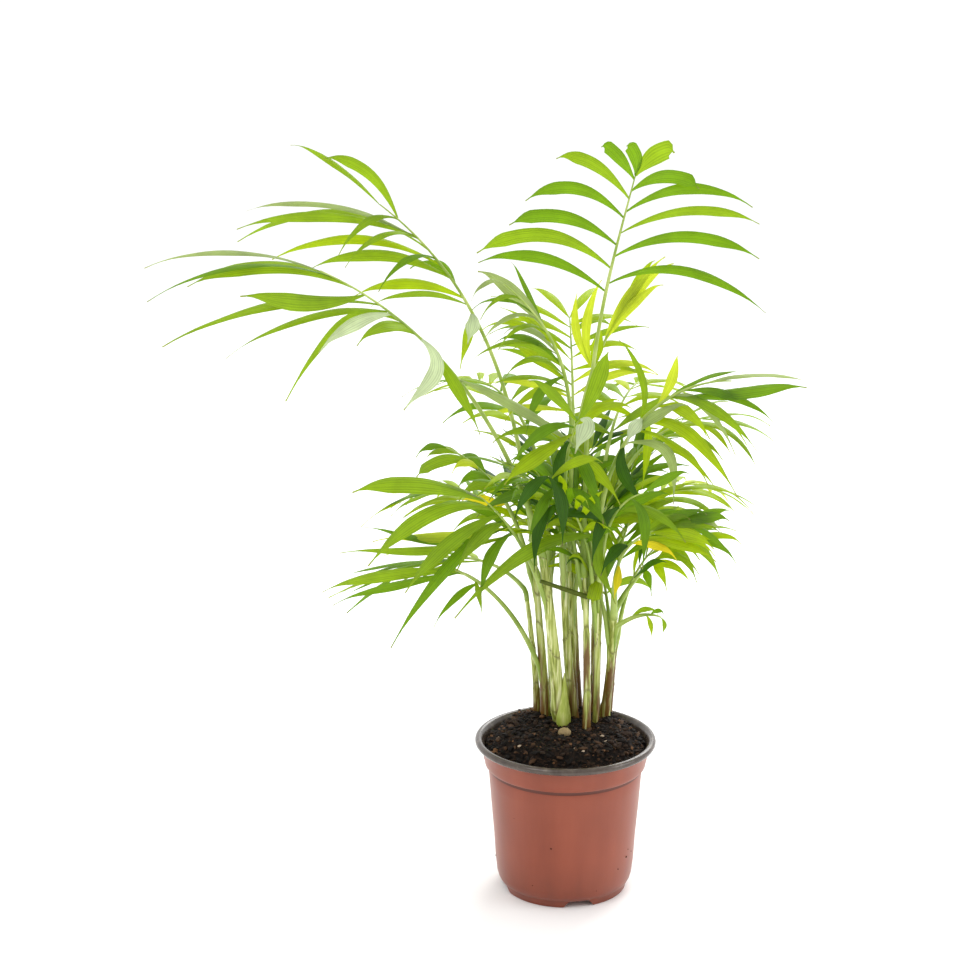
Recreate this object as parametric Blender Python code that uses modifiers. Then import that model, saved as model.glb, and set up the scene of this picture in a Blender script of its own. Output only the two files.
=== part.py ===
# A parlour palm in a 12 cm plastic nursery pot: a clump of thin cane stems stands in
# potting soil, and arching fronds leave the stems, each one a round stalk with a thin
# blade of leaflets. Sizes in the tables are millimetres and degrees, the model is in
# metres with +Z up, and the origin is the middle of the pot's flat underside.
#
# A heading is counted from +X towards +Y, and a rise is the angle above level.
import math
from typing import NamedTuple

import bmesh
import bpy
import numpy as np

MM = 0.001
GAP = 0.3  # clearance between touching pieces

# Pot
POT_HEIGHT = 105.0
POT_WALL = 1.4
LIP_RADIUS = 60.0
FOOT_RADIUS = 41.2
FOOT_HEIGHT = 5.5
FLOOR_UNDERSIDE = 4.0
FLOOR_TOP = 5.6
CENTRE_PAD_RADIUS = 10.0
POT_SIDES = 40
# Outlines as radius and height: over the lip, and down the outer side to the foot
LIP_OUTLINE = ((55.6, POT_HEIGHT - 0.9), (57.6, POT_HEIGHT), (59.3, POT_HEIGHT - 0.7),
               (LIP_RADIUS, POT_HEIGHT - 2.4), (59.6, POT_HEIGHT - 4.1), (58.2, POT_HEIGHT - 4.8))
BODY_OUTLINE = ((55.0, 99.6), (54.5, 92.0), (53.5, 86.0), (51.4, 81.0), (50.5, 77.0),
                (49.2, 59.5), (47.2, 36.0), (45.3, 6.6))
NOTCH_WIDTH = 15.0
NOTCH_DEPTH = 14.0
NOTCH_COUNT = 4
NOTCH_HEADING = 284.0
DRAIN_HOLE_RADIUS = 3.5
DRAIN_HOLE_RING = 27.0
DRAIN_HOLE_COUNT = 8
DRAIN_HOLE_SIDES = 12

# Soil: a raised root ball with a watering channel round it
SOIL_TOP = 112.0
SOIL_CHANNEL = 97.5
SOIL_TOP_RADIUS = 42.0
SOIL_SHOULDER_RADIUS = 46.0

# Stems
STEM_FOOT = SOIL_TOP + GAP
STEM_STATIONS = (0.0, 0.05, 0.35, 0.7, 1.0)
STEM_TAPER_POWER = 0.7
STEM_SIDES = 8

# A stalk whose blade was cut off, on the front of one stem
CUT_STALK_STEM = "stem_right_front"
CUT_STALK_HEIGHT = 203.0
CUT_STALK_LENGTH = 34.0
CUT_STALK_HEADING = 204.0
CUT_STALK_RISE = 24.0
CUT_STALK_RADIUS = (1.7, 1.3)
CUT_STALK_SEAT = 264.0  # heading of the side of the stem that it sits on

# Fronds
STALK_FOOT_RADIUS = 1.7
STALK_END_RADIUS = 1.2
STALK_STATIONS = 8
STALK_SIDES = 6
SHORT_STALK = 52.0  # below this a frond is one sheet, above it a stalk and a blade
SHORT_STALK_STATIONS = 4
BLADE_THICKNESS = 1.0
RIB_STEPS = 40
LEAFLET_STEPS = 8
HEADING_POWER = 1.3
TILT_ROOM = 0.2
DROOP_SCALE = 1.2
DROOP_POWER = 1.5
LEAFLET_ZONE = 0.95  # share of the rib's leafy part that carries pairs of leaflets
FIRST_PAIR = 0.18  # of one pair's spacing, from the start of that part
LAST_PAIR = 0.3  # of one pair's spacing, past the end of it
END_SPREAD = 12.0
END_DROOP = 0.7
END_NARROWING = 0.3


class Stem(NamedTuple):
    name: str
    foot: tuple  # x, y on the soil
    top: tuple  # x, y, z
    radius: tuple  # at the foot, at the top
    bow: float  # how far the middle stands out of the straight line


class Frond(NamedTuple):
    name: str
    stem: str
    height: float  # where it leaves the stem; the stem's own top if higher
    length: float  # of the rib, stalk included
    stalk: float  # share of the rib that is bare
    heading: tuple  # at the foot, at the tip
    rise: tuple  # at the foot, at the tip
    bend: float  # a high value holds the bend back to the end of the rib
    facing: float  # heading of the blade as a whole
    pairs: int  # of leaflets
    reach: tuple  # length of the first and of the last leaflets
    spread: tuple  # angle between leaflet and rib, first and last
    lift: float
    droop: float
    end: float  # length of the last two leaflets, at the rib's tip
    skew: float = 0.0


STEMS = (
    Stem("stem_left_outer", (-19, 29), (-27, 21, 198), (2.3, 1.7), 1.5),
    Stem("stem_left", (-13, 20), (-22, 17, 226), (3.3, 2.3), 1.0),
    Stem("stem_front_left", (-4, 9), (-16, -2, 231), (4.6, 2.8), 1.5),
    Stem("stem_front", (5, 16), (-3, 5, 228), (3.4, 2.4), -1.0),
    Stem("stem_mid", (6, 31), (1, 19, 221), (2.1, 1.7), 0.5),
    Stem("stem_right_front", (14, -2), (11, 4, 222), (3.6, 2.6), -1.0),
    Stem("stem_right_inner", (20, 8), (19, 3, 224), (3.0, 2.2), 1.0),
    Stem("stem_right", (26, 20), (31, 6, 190), (3.1, 2.4), 1.0),
    Stem("stem_right_outer", (28, 27), (32, 17, 186), (2.8, 2.1), 1.0),
    Stem("stem_right_rear", (20, 26), (23, 22, 213), (2.8, 2.1), -0.5),
    Stem("stem_rear_left", (-8, 32), (-12, 35, 219), (3.0, 2.2), 1.0),
    Stem("stem_rear_mid", (8, 37), (4, 39, 221), (3.0, 2.2), 1.0),
    Stem("stem_rear_right", (20, 33), (20, 36, 217), (2.8, 2.2), 1.0),
)

FRONDS = (
    Frond("frond_left_near", "stem_front_left", 240, 252, 0.54, (184, 218), (75, 26), 1.2, 205,
          6, (80, 122), (70, 16), 10, 1.3, 116),
    Frond("frond_left_far", "stem_left", 240, 256, 0.60, (129, 190), (80, 38), 1.6, 178,
          6, (78, 100), (58, 34), 8, 1.1, 84),
    Frond("frond_crown_right", "stem_right_front", 240, 256, 0.70, (95, -35), (89, 74), 1.0, 268,
          5, (97, 62), (80, 62), 8, 0.75, 27, -14),
    Frond("frond_crown_young", "stem_rear_mid", 240, 165, 0.74, (100, 0), (88, 60), 1.0, 270,
          2, (60, 62), (34, 16), 6, 0.1, 55),
    Frond("frond_crown_left", "stem_mid", 240, 212, 0.62, (296, 193), (88, 40), 1.6, 190,
          6, (58, 55), (60, 25), 10, 1.1, 50),
    Frond("frond_right_high", "stem_right_inner", 240, 166, 0.62, (0, 0), (88, -2), 1.7, 0,
          5, (72, 76), (50, 16), 6, 0.8, 66),
    Frond("frond_right_rear", "stem_right_rear", 240, 132, 0.60, (54, 0), (88, 8), 1.3, 6,
          4, (62, 62), (52, 25), 5, 1.1, 56),
    Frond("frond_right_low", "stem_right", 240, 92, 0.50, (267, 379), (85, 5), 1.4, 0,
          4, (60, 58), (45, 18), 5, 0.9, 50),
    Frond("frond_right_low_rear", "stem_right_outer", 240, 78, 0.35, (34, 42), (57, -6), 1.2, 40,
          4, (55, 45), (60, 25), 0, 1.2, 42),
    Frond("frond_right_foot", "stem_right", 180, 41, 0.55, (327, 306), (40, 0), 1.2, 330,
          1, (28, 28), (50, 40), 0, 1.5, 26),
    Frond("frond_left_low", "stem_front_left", 205, 95, 0.50, (220, 225), (68, 38), 1.2, 215,
          4, (78, 70), (60, 28), 0, 1.2, 78),
    Frond("frond_left_low_rear", "stem_left_outer", 240, 95, 0.45, (123, 203), (22, -18), 1.2, 180,
          4, (72, 70), (45, 18), 0, 0.5, 75),
    Frond("frond_left_foot", "stem_left", 154, 102, 0.85, (201, 238), (67, 24), 1.2, 215,
          1, (58, 50), (60, 40), 0, 1.9, 74),
    Frond("frond_left_mid", "stem_left", 212, 104, 0.60, (150, 166), (78, 20), 1.3, 168,
          4, (50, 46), (56, 30), 6, 0.9, 44),
    Frond("frond_front_left", "stem_front", 218, 92, 0.54, (266, 252), (84, 24), 1.5, 254,
          3, (48, 46), (46, 30), 4, 0.8, 50),
    Frond("frond_front_right", "stem_right_inner", 212, 88, 0.54, (296, 314), (82, 20), 1.5, 312,
          3, (46, 46), (46, 30), 4, 0.8, 46),
    Frond("frond_front_high", "stem_front", 240, 124, 0.60, (276, 284), (86, 24), 1.6, 283,
          4, (56, 52), (52, 28), 8, 0.8, 48),
    Frond("frond_rear_left", "stem_rear_left", 240, 152, 0.56, (115, 136), (84, -4), 1.5, 132,
          5, (58, 54), (52, 25), 8, 0.9, 56),
    Frond("frond_rear_mid", "stem_rear_mid", 210, 176, 0.58, (92, 94), (88, 34), 1.5, 93,
          5, (70, 60), (54, 25), 8, 0.8, 56),
    Frond("frond_rear_right", "stem_rear_right", 240, 148, 0.56, (76, 66), (84, -2), 1.5, 68,
          5, (54, 50), (52, 25), 8, 0.9, 52),
    Frond("frond_rear_low_left", "stem_rear_left", 196, 114, 0.46, (150, 158), (66, -14), 1.3, 158,
          4, (54, 50), (52, 25), 4, 1.0, 52),
    Frond("frond_rear_low", "stem_rear_mid", 190, 120, 0.46, (98, 94), (74, 4), 1.3, 94,
          4, (58, 54), (54, 25), 4, 1.0, 54),
    Frond("frond_rear_low_right", "stem_rear_right", 198, 112, 0.47, (46, 34), (66, -12), 1.3, 36,
          4, (58, 54), (54, 25), 4, 1.0, 54),
)


def clear_scene():
    for item in list(bpy.data.objects):
        bpy.data.objects.remove(item, do_unlink=True)


def make_collection(name):
    group = bpy.data.collections.new(name)
    bpy.context.scene.collection.children.link(group)
    return group


def make_material(name, colour, roughness):
    material = bpy.data.materials.new(name)
    material.use_nodes = True
    shader = material.node_tree.nodes["Principled BSDF"]
    shader.inputs["Base Color"].default_value = (*colour, 1.0)
    shader.inputs["Roughness"].default_value = roughness
    shader.inputs["Metallic"].default_value = 0.0
    return material


def add_object(group, name, data, material):
    item = bpy.data.objects.new(name, data)
    group.objects.link(item)
    data.materials.append(material)
    return item


def turned_object(group, name, profile, sides, material):
    """A profile of (radius, height) points in millimetres, turned round the Z axis."""
    mesh = bpy.data.meshes.new(name)
    points = [(radius * MM, 0.0, height * MM) for radius, height in profile]
    edges = [(i, i + 1) for i in range(len(points) - 1)]
    mesh.from_pydata(points, edges, [])
    item = add_object(group, name, mesh, material)
    screw = item.modifiers.new("turn", "SCREW")
    screw.axis = "Z"
    screw.steps = sides
    screw.render_steps = sides
    screw.use_merge_vertices = True
    screw.merge_threshold = 0.00001
    screw.use_normal_calculate = False
    return item


def cut_with(item, cutter):
    cutter.hide_render = True
    cutter.display_type = "WIRE"
    cut = item.modifiers.new("cut", "BOOLEAN")
    cut.operation = "DIFFERENCE"
    cut.solver = "EXACT"
    cut.object = cutter


def on_circle(radius, angle, height):
    turn = math.radians(angle)
    return (radius * math.cos(turn) * MM, radius * math.sin(turn) * MM, height * MM)


def build_pot(group, cutters, material):
    foot = ((44.5, FOOT_HEIGHT), (FOOT_RADIUS, FOOT_HEIGHT - 0.1), (FOOT_RADIUS - 0.3, 0.0),
            (FOOT_RADIUS - 2.6, 0.0), (FOOT_RADIUS - 2.9, FLOOR_UNDERSIDE),
            (CENTRE_PAD_RADIUS + 0.8, FLOOR_UNDERSIDE), (CENTRE_PAD_RADIUS, 0.0), (0.0, 0.0))
    inner = [(radius - POT_WALL, height) for radius, height in reversed(BODY_OUTLINE)]
    inner[0] = (inner[0][0], FLOOR_TOP)
    profile = [(0.0, FLOOR_TOP), *inner, *LIP_OUTLINE, *BODY_OUTLINE, *foot]
    pot = turned_object(group, "pot", profile, POT_SIDES, material)

    for i in range(NOTCH_COUNT):
        angle = NOTCH_HEADING + 360.0 * i / NOTCH_COUNT
        bpy.ops.mesh.primitive_cube_add(size=1.0, location=on_circle(FOOT_RADIUS, angle, 0.0))
        notch = bpy.context.object
        notch.name = f"notch_cutter_{i}"
        notch.scale = (NOTCH_DEPTH * MM, NOTCH_WIDTH * MM, 2.0 * FLOOR_UNDERSIDE * MM)
        notch.rotation_euler.z = math.radians(angle)
        move_to(notch, cutters)
        cut_with(pot, notch)
    for i in range(DRAIN_HOLE_COUNT):
        angle = NOTCH_HEADING + 360.0 * (i + 0.5) / DRAIN_HOLE_COUNT
        place = on_circle(DRAIN_HOLE_RING, angle, FLOOR_TOP)
        bpy.ops.mesh.primitive_cylinder_add(vertices=DRAIN_HOLE_SIDES, location=place,
                                            radius=DRAIN_HOLE_RADIUS * MM,
                                            depth=4.0 * FLOOR_UNDERSIDE * MM)
        hole = bpy.context.object
        hole.name = f"drain_cutter_{i}"
        move_to(hole, cutters)
        cut_with(pot, hole)


def move_to(item, group):
    for other in list(item.users_collection):
        other.objects.unlink(item)
    group.objects.link(item)


def build_soil(group, material):
    side = [(radius - POT_WALL - GAP, height) for radius, height in BODY_OUTLINE[1:-1]]
    channel_radius = BODY_OUTLINE[1][0] - POT_WALL
    profile = [(0.0, SOIL_TOP), (SOIL_TOP_RADIUS, SOIL_TOP),
               (SOIL_SHOULDER_RADIUS, SOIL_CHANNEL), (channel_radius, SOIL_CHANNEL), *side,
               (BODY_OUTLINE[-1][0] - POT_WALL - 2 * GAP, FLOOR_TOP + GAP), (0.0, FLOOR_TOP + GAP)]
    turned_object(group, "soil", profile, POT_SIDES, material)


def stem_axis(stem, share):
    """The point of a stem's middle line at a share of its height, and its radius there."""
    foot = np.array([*stem.foot, STEM_FOOT], float)
    top = np.array(stem.top, float)
    across = np.array([foot[1] - top[1], top[0] - foot[0], 0.0])
    across = across / max(np.linalg.norm(across), 1.0)
    point = foot + (top - foot) * share + across * stem.bow * math.sin(math.pi * share)
    return point, stem.radius[0] + (stem.radius[1] - stem.radius[0]) * share ** STEM_TAPER_POWER


def rod_object(group, name, points, radii, sides, material):
    """A tapering round rod through points in millimetres."""
    curve = bpy.data.curves.new(name, "CURVE")
    curve.dimensions = "3D"
    curve.bevel_depth = MM
    curve.bevel_resolution = (sides - 4) // 2
    curve.use_fill_caps = True
    spline = curve.splines.new("POLY")
    spline.points.add(len(points) - 1)
    for knot, point, radius in zip(spline.points, points, radii):
        knot.co = (*[c * MM for c in point], 1.0)
        knot.radius = radius
    add_object(group, name, curve, material)


def build_stem(group, stem, material):
    stations = [stem_axis(stem, share) for share in STEM_STATIONS]
    points = [point for point, _ in stations]
    radii = [radius for _, radius in stations]
    points[0] = np.array([*points[1][:2], STEM_FOOT])
    rod_object(group, stem.name, points, radii, STEM_SIDES, material)


def find_stem(name):
    return next(stem for stem in STEMS if stem.name == name)


def beside_stem(stem, height, heading, half):
    """A point against a stem's side, where a piece of half thickness half starts."""
    point, radius = stem_axis(stem, (height - STEM_FOOT) / (stem.top[2] - STEM_FOOT))
    turn = math.radians(heading)
    return point + np.array([math.cos(turn), math.sin(turn), 0.0]) * (radius + half + GAP)


def build_cut_stalk(group, material):
    stem = find_stem(CUT_STALK_STEM)
    foot = beside_stem(stem, CUT_STALK_HEIGHT, CUT_STALK_SEAT, CUT_STALK_RADIUS[0])
    turn = math.radians(CUT_STALK_HEADING)
    rise = math.radians(CUT_STALK_RISE)
    aim = np.array([math.cos(rise) * math.cos(turn), math.cos(rise) * math.sin(turn),
                    math.sin(rise)])
    points = [foot, foot + aim * CUT_STALK_LENGTH / 2.0, foot + aim * CUT_STALK_LENGTH]
    radii = np.linspace(*CUT_STALK_RADIUS, len(points))
    rod_object(group, "cut_stalk", points, radii, STALK_SIDES, material)


def frond_foot(frond):
    """Where a frond's stalk starts: on top of its stem, or against the stem's side."""
    stem = find_stem(frond.stem)
    half = BLADE_THICKNESS / 2.0 if has_short_stalk(frond) else STALK_FOOT_RADIUS
    top = stem.top[2]
    if frond.height >= top:
        tilt = half * math.cos(math.radians(frond.rise[0]))
        return np.array(stem.top, float) + np.array([0.0, 0.0, GAP + TILT_ROOM + tilt])
    return beside_stem(stem, frond.height, frond.heading[0], half)


def has_short_stalk(frond):
    return frond.stalk * frond.length < SHORT_STALK


def frond_rib(frond):
    """Points of the rib from foot to tip, and the direction at each."""
    along = (np.arange(RIB_STEPS) + 0.5) / RIB_STEPS
    heading = np.radians(frond.heading[0]
                         + (frond.heading[1] - frond.heading[0]) * along ** HEADING_POWER)
    rise = np.radians(frond.rise[0] + (frond.rise[1] - frond.rise[0]) * along ** frond.bend)
    step = np.stack([np.cos(rise) * np.cos(heading), np.cos(rise) * np.sin(heading),
                     np.sin(rise)], axis=1)
    points = np.vstack([np.zeros(3), np.cumsum(step, axis=0) * frond.length / RIB_STEPS])
    points = points + frond_foot(frond)
    direction = np.gradient(points, axis=0)
    return points, direction / np.linalg.norm(direction, axis=1)[:, None]


def blade_side(frond, direction):
    """The level-ish direction from the rib to its right-hand leaflets, and the one above."""
    turn = math.radians(frond.facing)
    side = np.array([math.sin(turn), -math.cos(turn), 0.0])
    side = side - direction * side.dot(direction)
    side = side / np.linalg.norm(side)
    return side, np.cross(side, direction)


def leaflet_path(frond, start, direction, hand, spread, length, lift, droop):
    side, above = blade_side(frond, direction)
    turn = math.radians(spread - hand * frond.skew)
    raised = math.radians(lift)
    aim = (direction * math.cos(turn) + side * hand * math.sin(turn) * math.cos(raised)
           + above * math.sin(turn) * math.sin(raised))
    path = [np.array(start, float)]
    for i in range(LEAFLET_STEPS):
        along = (i + 0.5) / LEAFLET_STEPS
        pull = np.array([0.0, 0.0, -1.0]) * droop * DROOP_SCALE * along ** DROOP_POWER
        step = (aim + pull) / np.linalg.norm(aim + pull)
        path.append(path[-1] + step * length / LEAFLET_STEPS)
    return path


def blade_rows(frond, points, direction):
    """Rows of left edge, rib and right edge, through the tips of the leaflets."""
    def at(share):
        place = share * RIB_STEPS
        i = min(int(place), RIB_STEPS - 1)
        rest = place - i
        return (points[i] + (points[i + 1] - points[i]) * rest,
                direction[i] + (direction[i + 1] - direction[i]) * rest)

    start, aim = at(frond.stalk)
    start = start + aim * 2.0 * GAP
    side, _ = blade_side(frond, aim)
    rows = [(start - side * STALK_FOOT_RADIUS, start, start + side * STALK_FOOT_RADIUS)]
    for i in range(frond.pairs):
        step = (i + FIRST_PAIR) / max(frond.pairs - LAST_PAIR, 1.0)
        middle, aim = at(frond.stalk + (1.0 - frond.stalk) * step * LEAFLET_ZONE)
        reach = frond.reach[0] + (frond.reach[1] - frond.reach[0]) * step
        spread = frond.spread[0] + (frond.spread[1] - frond.spread[0]) * step
        left, right = [leaflet_path(frond, middle, aim, hand, spread, reach, frond.lift,
                                    frond.droop)[-1] for hand in (-1.0, 1.0)]
        rows.append((left, middle, right))
    left, right = [leaflet_path(frond, points[-1], direction[-1], hand, END_SPREAD, frond.end,
                                0.0, frond.droop * END_DROOP)[-1] for hand in (-1.0, 1.0)]
    rows.append((left, (points[-1] * 2 + left + right) / 4, right))
    inward = (right - left) * END_NARROWING
    rows.append((left + inward, (left + right) / 2, right - inward))
    return rows


def sheet_object(group, name, rows, material):
    """A thin sheet lofted through rows of three points, in millimetres."""
    mesh = bpy.data.meshes.new(name)
    loft = bmesh.new()
    grid = [[loft.verts.new([c * MM for c in point]) for point in row] for row in rows]
    for low, high in zip(grid, grid[1:]):
        for i in range(2):
            loft.faces.new((low[i], low[i + 1], high[i + 1], high[i]))
    bmesh.ops.triangulate(loft, faces=loft.faces[:])
    loft.to_mesh(mesh)
    loft.free()
    item = add_object(group, name, mesh, material)
    solid = item.modifiers.new("thickness", "SOLIDIFY")
    solid.thickness = BLADE_THICKNESS * MM
    solid.offset = 0.0


def build_frond(group, frond, material):
    points, direction = frond_rib(frond)
    rows = blade_rows(frond, points, direction)
    bare = frond.stalk * RIB_STEPS
    if has_short_stalk(frond):
        stations = np.linspace(0, int(bare) - 1, SHORT_STALK_STATIONS).astype(int)
        lower = []
        for i in stations:
            side, _ = blade_side(frond, direction[i])
            lower.append((points[i] - side * STALK_END_RADIUS, points[i],
                          points[i] + side * STALK_END_RADIUS))
        sheet_object(group, frond.name, lower + rows, material)
        return
    end = int(bare)
    stations = np.linspace(0, end, STALK_STATIONS).astype(int)
    stalk_points = [points[i] for i in stations]
    stalk_points[-1] = points[end] + (points[end + 1] - points[end]) * (bare - end)
    radii = np.linspace(STALK_FOOT_RADIUS, STALK_END_RADIUS, len(stalk_points))
    rod_object(group, frond.name + "_stalk", stalk_points, radii, 6, material)
    sheet_object(group, frond.name + "_blade", rows, material)


clear_scene()
palm = make_collection("parlour_palm")
cutters = make_collection("cutters")
terracotta = make_material("terracotta_plastic", (0.23, 0.06, 0.035), 0.5)
earth = make_material("potting_soil", (0.03, 0.018, 0.012), 0.95)
cane = make_material("cane", (0.38, 0.47, 0.12), 0.5)
leaf = make_material("leaf", (0.16, 0.32, 0.03), 0.45)

build_pot(palm, cutters, terracotta)
build_soil(palm, earth)
for row in STEMS:
    build_stem(palm, row, cane)
build_cut_stalk(palm, cane)
for row in FRONDS:
    build_frond(palm, row, leaf)
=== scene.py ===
# A parlour palm in a 12 cm nursery pot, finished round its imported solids. The sections run
# as the plant was put together: the pot, the soil, the stems, then the fronds on them.
# Lengths in the tables are millimetres and angles are degrees. The scene is in metres.
import math
import random
from typing import NamedTuple

import bpy
import numpy as np
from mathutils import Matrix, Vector, noise


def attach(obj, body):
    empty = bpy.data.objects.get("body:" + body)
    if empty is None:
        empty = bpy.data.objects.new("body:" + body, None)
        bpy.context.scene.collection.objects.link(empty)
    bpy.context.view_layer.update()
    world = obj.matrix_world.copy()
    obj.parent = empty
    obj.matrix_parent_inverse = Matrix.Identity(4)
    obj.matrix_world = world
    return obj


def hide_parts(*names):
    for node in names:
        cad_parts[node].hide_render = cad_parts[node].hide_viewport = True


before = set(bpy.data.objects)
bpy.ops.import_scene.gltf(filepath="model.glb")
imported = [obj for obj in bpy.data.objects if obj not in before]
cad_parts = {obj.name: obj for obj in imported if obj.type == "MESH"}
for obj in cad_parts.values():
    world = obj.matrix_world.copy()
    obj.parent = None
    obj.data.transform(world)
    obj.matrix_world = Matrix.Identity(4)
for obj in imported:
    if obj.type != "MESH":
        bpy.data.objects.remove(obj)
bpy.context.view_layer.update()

# The pot
# A nursery pot is thermoformed from polypropylene sheet, terracotta outside and black
# inside. The sheet's edge is rolled out into the lip, so the lip shows the black layer.
# Notches in the foot ring and holes in the floor let water out.
MM = 0.001
POT_SIDES = 96
SHEET_THICKNESS = 1.4
POT_UNDERSIDE = ((10.0, 0.0), (10.8, 4.0), (38.0, 4.0), (38.6, 0.3), (38.9, 0.0), (40.8, 0.0),
                 (41.2, 0.3), (42.0, 4.6), (42.3, 5.0), (43.2, 5.6), (44.4, 8.0))
POT_WALL = ((45.2, 11.0), (46.2, 20.0), (47.2, 36.0), (48.2, 48.0), (49.2, 59.5), (50.3, 74.0),
            (50.9, 82.4), (50.5, 83.6), (50.2, 85.2), (50.6, 86.0), (52.8, 86.3), (53.4, 87.0),
            (53.6, 88.6), (54.5, 92.0), (55.0, 99.6))
LIP_CENTRE = (57.6, 102.5)
LIP_ROLL = 2.4
LIP_TURN = range(-75, 151, 25)
LIP_INSIDE = (54.2, 101.6)
LIP_START = 100.6
FLOOR_MIDDLE = 5.2
FLOOR_LEVEL = 5.9
FLOOR_CORNER = (42.6, 5.6)
FOOT_RADIUS = 41.2
NOTCHES = 4
NOTCH_HEADING = 284.0
NOTCH_SIZE = (14.0, 13.0, 9.8)
NOTCH_FLARE = 2.2
NOTCH_ROUNDING = 1.6
DRAIN_HOLES = 8
DRAIN_RADIUS = 3.5
DRAIN_RING = 27.0
GROOVE_LEVEL = 0.0846


def linear(code):
    """An sRGB hex colour as the linear values that a shader reads."""
    parts = [int(code[i:i + 2], 16) / 255.0 for i in (1, 3, 5)]
    return (*[c / 12.92 if c <= 0.04045 else ((c + 0.055) / 1.055) ** 2.4 for c in parts], 1.0)


def add_node(tree, kind, inputs, **settings):
    """A shader node with its settings. An input is a number, a colour or another's output."""
    item = tree.nodes.new("ShaderNode" + kind)
    for name, value in settings.items():
        setattr(item, name, value)
    for name, value in inputs.items():
        if isinstance(value, bpy.types.NodeSocket):
            tree.links.new(value, item.inputs[name])
        else:
            item.inputs[name].default_value = value
    return item


def start_material(name):
    """A material, its node tree, and the place on the object, in metres, for its patterns."""
    material = bpy.data.materials.new(name)
    material.use_nodes = True
    tree = material.node_tree
    tree.nodes.clear()
    return material, tree, add_node(tree, "TexCoord", {}).outputs["Object"]


def noise_pattern(tree, place, per_metre, detail=2.0, upright=1.0):
    """Noise of so many grains to the metre. An upright share under 1 draws them out upwards."""
    if upright < 1.0:
        place = add_node(tree, "Mapping", {"Vector": place,
                                           "Scale": (1.0, 1.0, upright)}).outputs[0]
    return add_node(tree, "TexNoise", {"Vector": place, "Scale": per_metre,
                                       "Detail": detail}).outputs[0]


def colour_ramp(tree, share, stops):
    """The colour at a share of a ramp. Its stops are (place, hex colour)."""
    ramp = add_node(tree, "ValToRGB", {"Fac": share})
    elements = ramp.color_ramp.elements
    while len(elements) < len(stops):
        elements.new(1.0)
    for element, (place, code) in zip(elements, stops):
        element.position = place
        element.color = linear(code)
    return ramp.outputs[0]


def remap(tree, value, start, end, low=0.0, high=1.0):
    """Low becomes start and high becomes end, and what is between goes with them."""
    return add_node(tree, "MapRange", {"Value": value, "From Min": low, "From Max": high,
                                       "To Min": start, "To Max": end}).outputs[0]


def reckon(tree, operation, first, second=0.0, third=0.0):
    return add_node(tree, "Math", {0: first, 1: second, 2: third},
                    operation=operation).outputs[0]


def mix_colours(tree, share, first, second):
    """The node has a set of sockets for each type of value: 6, 7 and output 2 are colours."""
    return add_node(tree, "Mix", {"Factor": share, 6: first, 7: second},
                    data_type="RGBA").outputs[2]


def bumps(tree, height, strength, distance):
    return add_node(tree, "Bump", {"Height": height, "Strength": strength,
                                   "Distance": distance}).outputs[0]


def finish_skin(tree, inputs):
    skin = add_node(tree, "BsdfPrincipled", inputs)
    add_node(tree, "OutputMaterial", {"Surface": skin.outputs[0]})


def around(radius, turn, level):
    """The point at a distance from the middle, a heading in radians, and a height."""
    return np.array([radius * math.cos(turn), radius * math.sin(turn), level])


def select_only(*items):
    """Selects these alone. The first of them is the active one."""
    bpy.ops.object.select_all(action="DESELECT")
    for item in items:
        item.select_set(True)
    bpy.context.view_layer.objects.active = items[0]


def new_shape(name, add, **settings):
    """One of Blender's own starting shapes. It is left selected, alone."""
    bpy.ops.object.select_all(action="DESELECT")
    add(**settings)
    bpy.context.object.name = name
    return bpy.context.object


def new_object(name, data):
    item = bpy.data.objects.new(name, data)
    bpy.context.scene.collection.objects.link(item)
    return item


def apply_modifiers(item):
    select_only(item)
    for modifier in list(item.modifiers):
        bpy.ops.object.modifier_apply(modifier=modifier.name)


def turn_up(name, outline, sides):
    """A disc at the outline's first point, extruded ring by ring through the others."""
    (radius, height), *rest = outline
    item = new_shape(name, bpy.ops.mesh.primitive_circle_add, vertices=sides,
                     radius=radius * MM, fill_type="NGON", location=(0.0, 0.0, height * MM))
    bpy.ops.object.transform_apply(location=True, rotation=False, scale=False)
    bpy.ops.object.mode_set(mode="EDIT")
    for next_radius, next_height in rest:
        growth = next_radius / radius
        rise = (next_height - height) * MM
        bpy.ops.mesh.extrude_region_move(TRANSFORM_OT_translate={"value": (0.0, 0.0, rise)})
        bpy.ops.transform.resize(value=(growth, growth, 1.0), center_override=(0.0, 0.0, 0.0))
        radius, height = next_radius, next_height
    bpy.ops.mesh.select_all(action="SELECT")
    bpy.ops.mesh.normals_make_consistent(inside=False)
    bpy.ops.object.mode_set(mode="OBJECT")
    return item


def cut_away(item, cutters):
    select_only(*cutters)
    bpy.ops.object.join()
    cut = item.modifiers.new("cut", "BOOLEAN")
    cut.operation = "DIFFERENCE"
    cut.object = cutters[0]
    apply_modifiers(item)
    bpy.data.objects.remove(cutters[0], do_unlink=True)


lip = [(LIP_CENTRE[0] + LIP_ROLL * math.cos(math.radians(a)),
        LIP_CENTRE[1] + LIP_ROLL * math.sin(math.radians(a))) for a in LIP_TURN]
inner_wall = [(r - SHEET_THICKNESS, z) for r, z in reversed(POT_WALL)]
# Its foot turns inwards, to the floor
inner_wall[-1] = (inner_wall[-1][0] - 0.6, FLOOR_LEVEL)
pot_outline = [*POT_UNDERSIDE, *POT_WALL, *lip, LIP_INSIDE, *inner_wall, FLOOR_CORNER]
pot = turn_up("pot_shell", pot_outline, POT_SIDES)

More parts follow.
